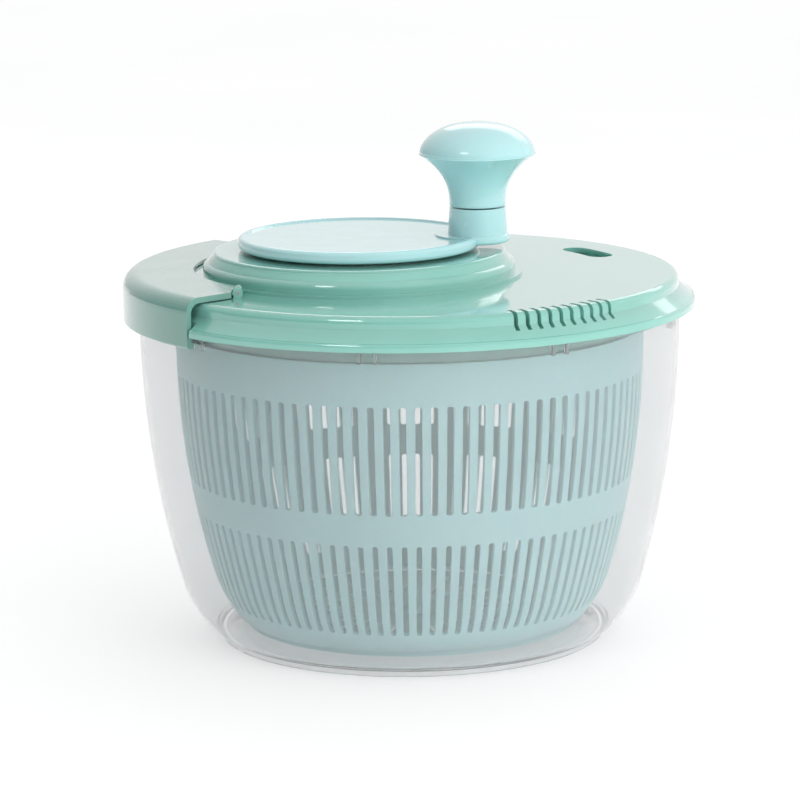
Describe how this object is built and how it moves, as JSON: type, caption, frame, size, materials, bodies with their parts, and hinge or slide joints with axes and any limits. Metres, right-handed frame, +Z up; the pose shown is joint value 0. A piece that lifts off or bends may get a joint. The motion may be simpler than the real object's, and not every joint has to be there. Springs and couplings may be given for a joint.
{
  "type": "salad spinner",
  "caption": "Hand-cranked salad spinner: clear bowl, slotted basket turning on a pin, translucent lid with off-centre crank, hinged latch, drain comb and water inlet.",
  "frame": {"origin": "middle of the foot ring's underside, on the axis of the bowl and the basket", "axes": "+Z up along the basket's axis, +X toward the crank's knob at rest, latch toward -X, +Y to the back"},
  "size_m": [0.26, 0.26, 0.2351],
  "materials": {
    "clear_bowl": "clear polished plastic",
    "basket_plastic": "satin moulded",
    "green_plastic": "translucent polished plastic",
    "blue_plastic": "polished moulded",
    "white_plastic": "moulded acetal",
    "steel": "bright",
    "latch_plastic": "polished moulded"
  },
  "bodies": {
    "bowl": {"bowl": "clear_bowl", "pivot_pin": "steel"},
    "basket": {"basket": "basket_plastic", "pivot_cup": "white_plastic"},
    "lid": {"lid": "green_plastic", "gear_cover": "green_plastic", "gear_cover_screws": "steel", "crank_bush": "white_plastic", "shaft_bush": "white_plastic", "latch_pins": "steel"},
    "crank": {"crank_disc": "blue_plastic", "crank_axle": "steel", "crank_washer": "steel", "crank_screw": "steel", "ring_gear": "white_plastic", "ring_gear_screws": "steel", "knob_spindle": "steel", "knob_screw": "steel"},
    "drive": {"pinion": "white_plastic", "pinion_washer": "steel", "drive_shaft": "steel", "drive_plate": "green_plastic", "drive_screw": "steel", "drive_washer": "steel"},
    "knob": {"knob": "blue_plastic", "knob_cap": "blue_plastic"},
    "latch": {"latch": "latch_plastic"}
  },
  "joints": [
    {"name": "lid_lift", "type": "slide", "parent": "bowl", "child": "lid", "axis": [0, 0, 1], "range_m": [0, 0.12]},
    {"name": "basket_spin", "type": "hinge", "parent": "bowl", "child": "basket", "pos_m": [0, 0, 0.0173], "axis": [0, 0, 1], "continuous": true},
    {"name": "crank_spin", "type": "hinge", "parent": "lid", "child": "crank", "pos_m": [-0.0225, 0, 0.179], "axis": [0, 0, 1], "continuous": true},
    {"name": "drive_spin", "type": "hinge", "parent": "lid", "child": "drive", "pos_m": [0, 0, 0.156], "axis": [0, 0, 1], "continuous": true},
    {"name": "knob_spin", "type": "hinge", "parent": "crank", "child": "knob", "pos_m": [0.0315, 0, 0.2], "axis": [0, 0, 1], "continuous": true},
    {"name": "latch_flip", "type": "hinge", "parent": "lid", "child": "latch", "pos_m": [-0.075, 0, 0.1695], "axis": [0, 1, 0], "range_deg": [0, 25]}
  ],
  "couplings": [
    {"joint": "drive_spin", "follows": "crank_spin", "ratio": 3},
    {"joint": "basket_spin", "follows": "crank_spin", "ratio": 3}
  ]
}
